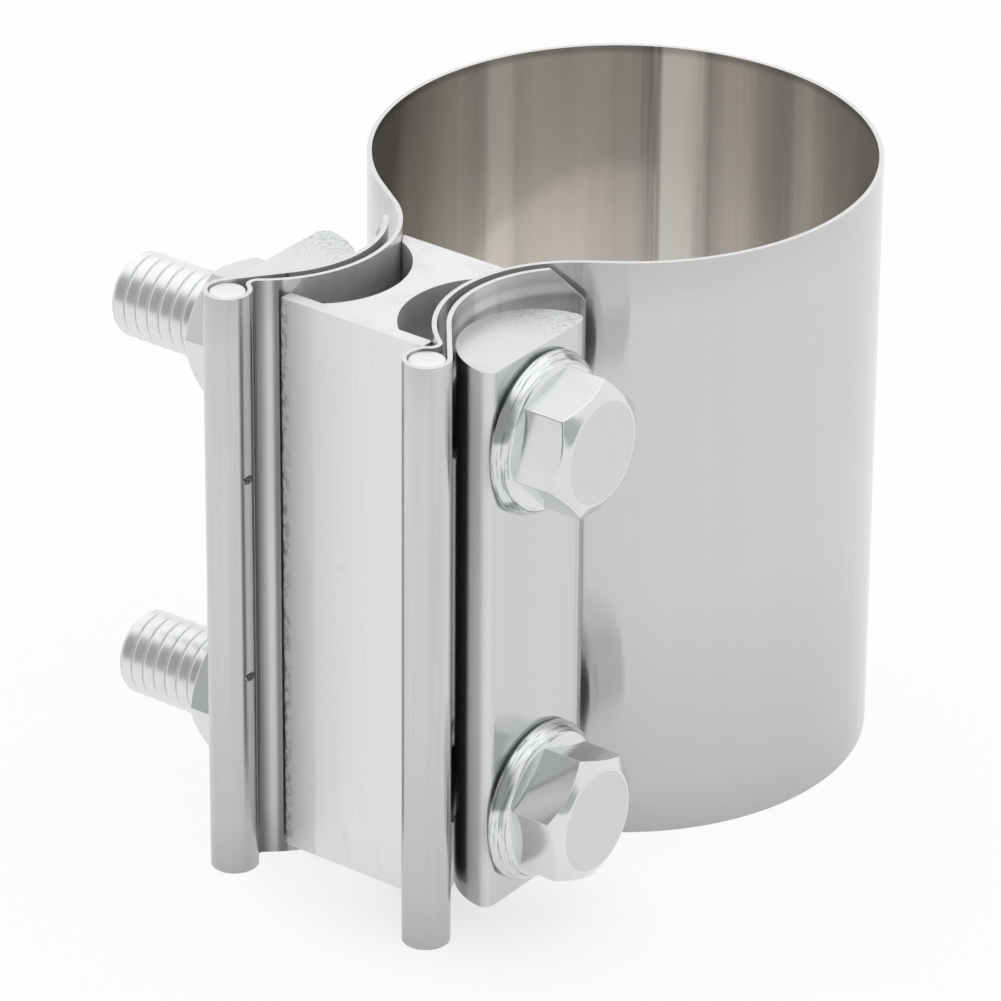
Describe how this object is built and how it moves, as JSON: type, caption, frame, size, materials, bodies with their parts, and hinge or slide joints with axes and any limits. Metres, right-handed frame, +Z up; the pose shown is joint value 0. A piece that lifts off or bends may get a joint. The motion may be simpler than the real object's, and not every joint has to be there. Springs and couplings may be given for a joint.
{
  "type": "exhaust band clamp",
  "caption": "Wide stainless band clamp for an exhaust pipe joint, drawn up by bolts through half-round bars and an extruded block between its legs.",
  "frame": {"origin": "on the axis of the pipe bore, at the band's mid height", "axes": "+Z up along the pipe bore, -Y towards the tightening hardware, +X towards the bolt heads"},
  "size_m": [0.0745, 0.0964, 0.08],
  "materials": {
    "polished_stainless": "bright rolled",
    "pin_steel": "satin",
    "extruded_aluminium": "satin",
    "zinc_plate": "bright zinc"
  },
  "bodies": {
    "clamp_body": {"band": "polished_stainless", "pin_left": "pin_steel", "pin_right": "pin_steel", "reaction_block": "extruded_aluminium"},
    "right_bar": {"bar_right": "zinc_plate"},
    "left_bar": {"bar_left": "zinc_plate"},
    "upper_bolt": {"bolt_upper": "zinc_plate"},
    "lower_bolt": {"bolt_lower": "zinc_plate"},
    "upper_nut": {"nut_upper": "zinc_plate"},
    "lower_nut": {"nut_lower": "zinc_plate"}
  },
  "joints": [
    {"name": "right_bar_slide", "type": "slide", "parent": "clamp_body", "child": "right_bar", "axis": [1, 0, 0], "range_m": [0, 0.00635]},
    {"name": "left_bar_slide", "type": "slide", "parent": "clamp_body", "child": "left_bar", "axis": [-1, 0, 0], "range_m": [0, 0.00635]},
    {"name": "upper_nut_turn", "type": "hinge", "parent": "left_bar", "child": "upper_nut", "pos_m": [-0.0242, -0.0455, 0.0255], "axis": [-1, 0, 0], "range_deg": [0, 2520]},
    {"name": "lower_nut_turn", "type": "hinge", "parent": "left_bar", "child": "lower_nut", "pos_m": [-0.0242, -0.0455, -0.0255], "axis": [-1, 0, 0], "range_deg": [0, 2520]},
    {"name": "upper_bolt_turn", "type": "hinge", "parent": "right_bar", "child": "upper_bolt", "pos_m": [0.025, -0.0455, 0.0255], "axis": [1, 0, 0], "continuous": true},
    {"name": "lower_bolt_turn", "type": "hinge", "parent": "right_bar", "child": "lower_bolt", "pos_m": [0.025, -0.0455, -0.0255], "axis": [1, 0, 0], "continuous": true}
  ],
  "couplings": [
    {"joint": "right_bar_slide", "follows": "left_bar_slide", "ratio": 1},
    {"joint": "upper_nut_turn", "follows": "left_bar_slide", "rad_per_m": 6926.3},
    {"joint": "lower_nut_turn", "follows": "left_bar_slide", "rad_per_m": 6926.3}
  ]
}
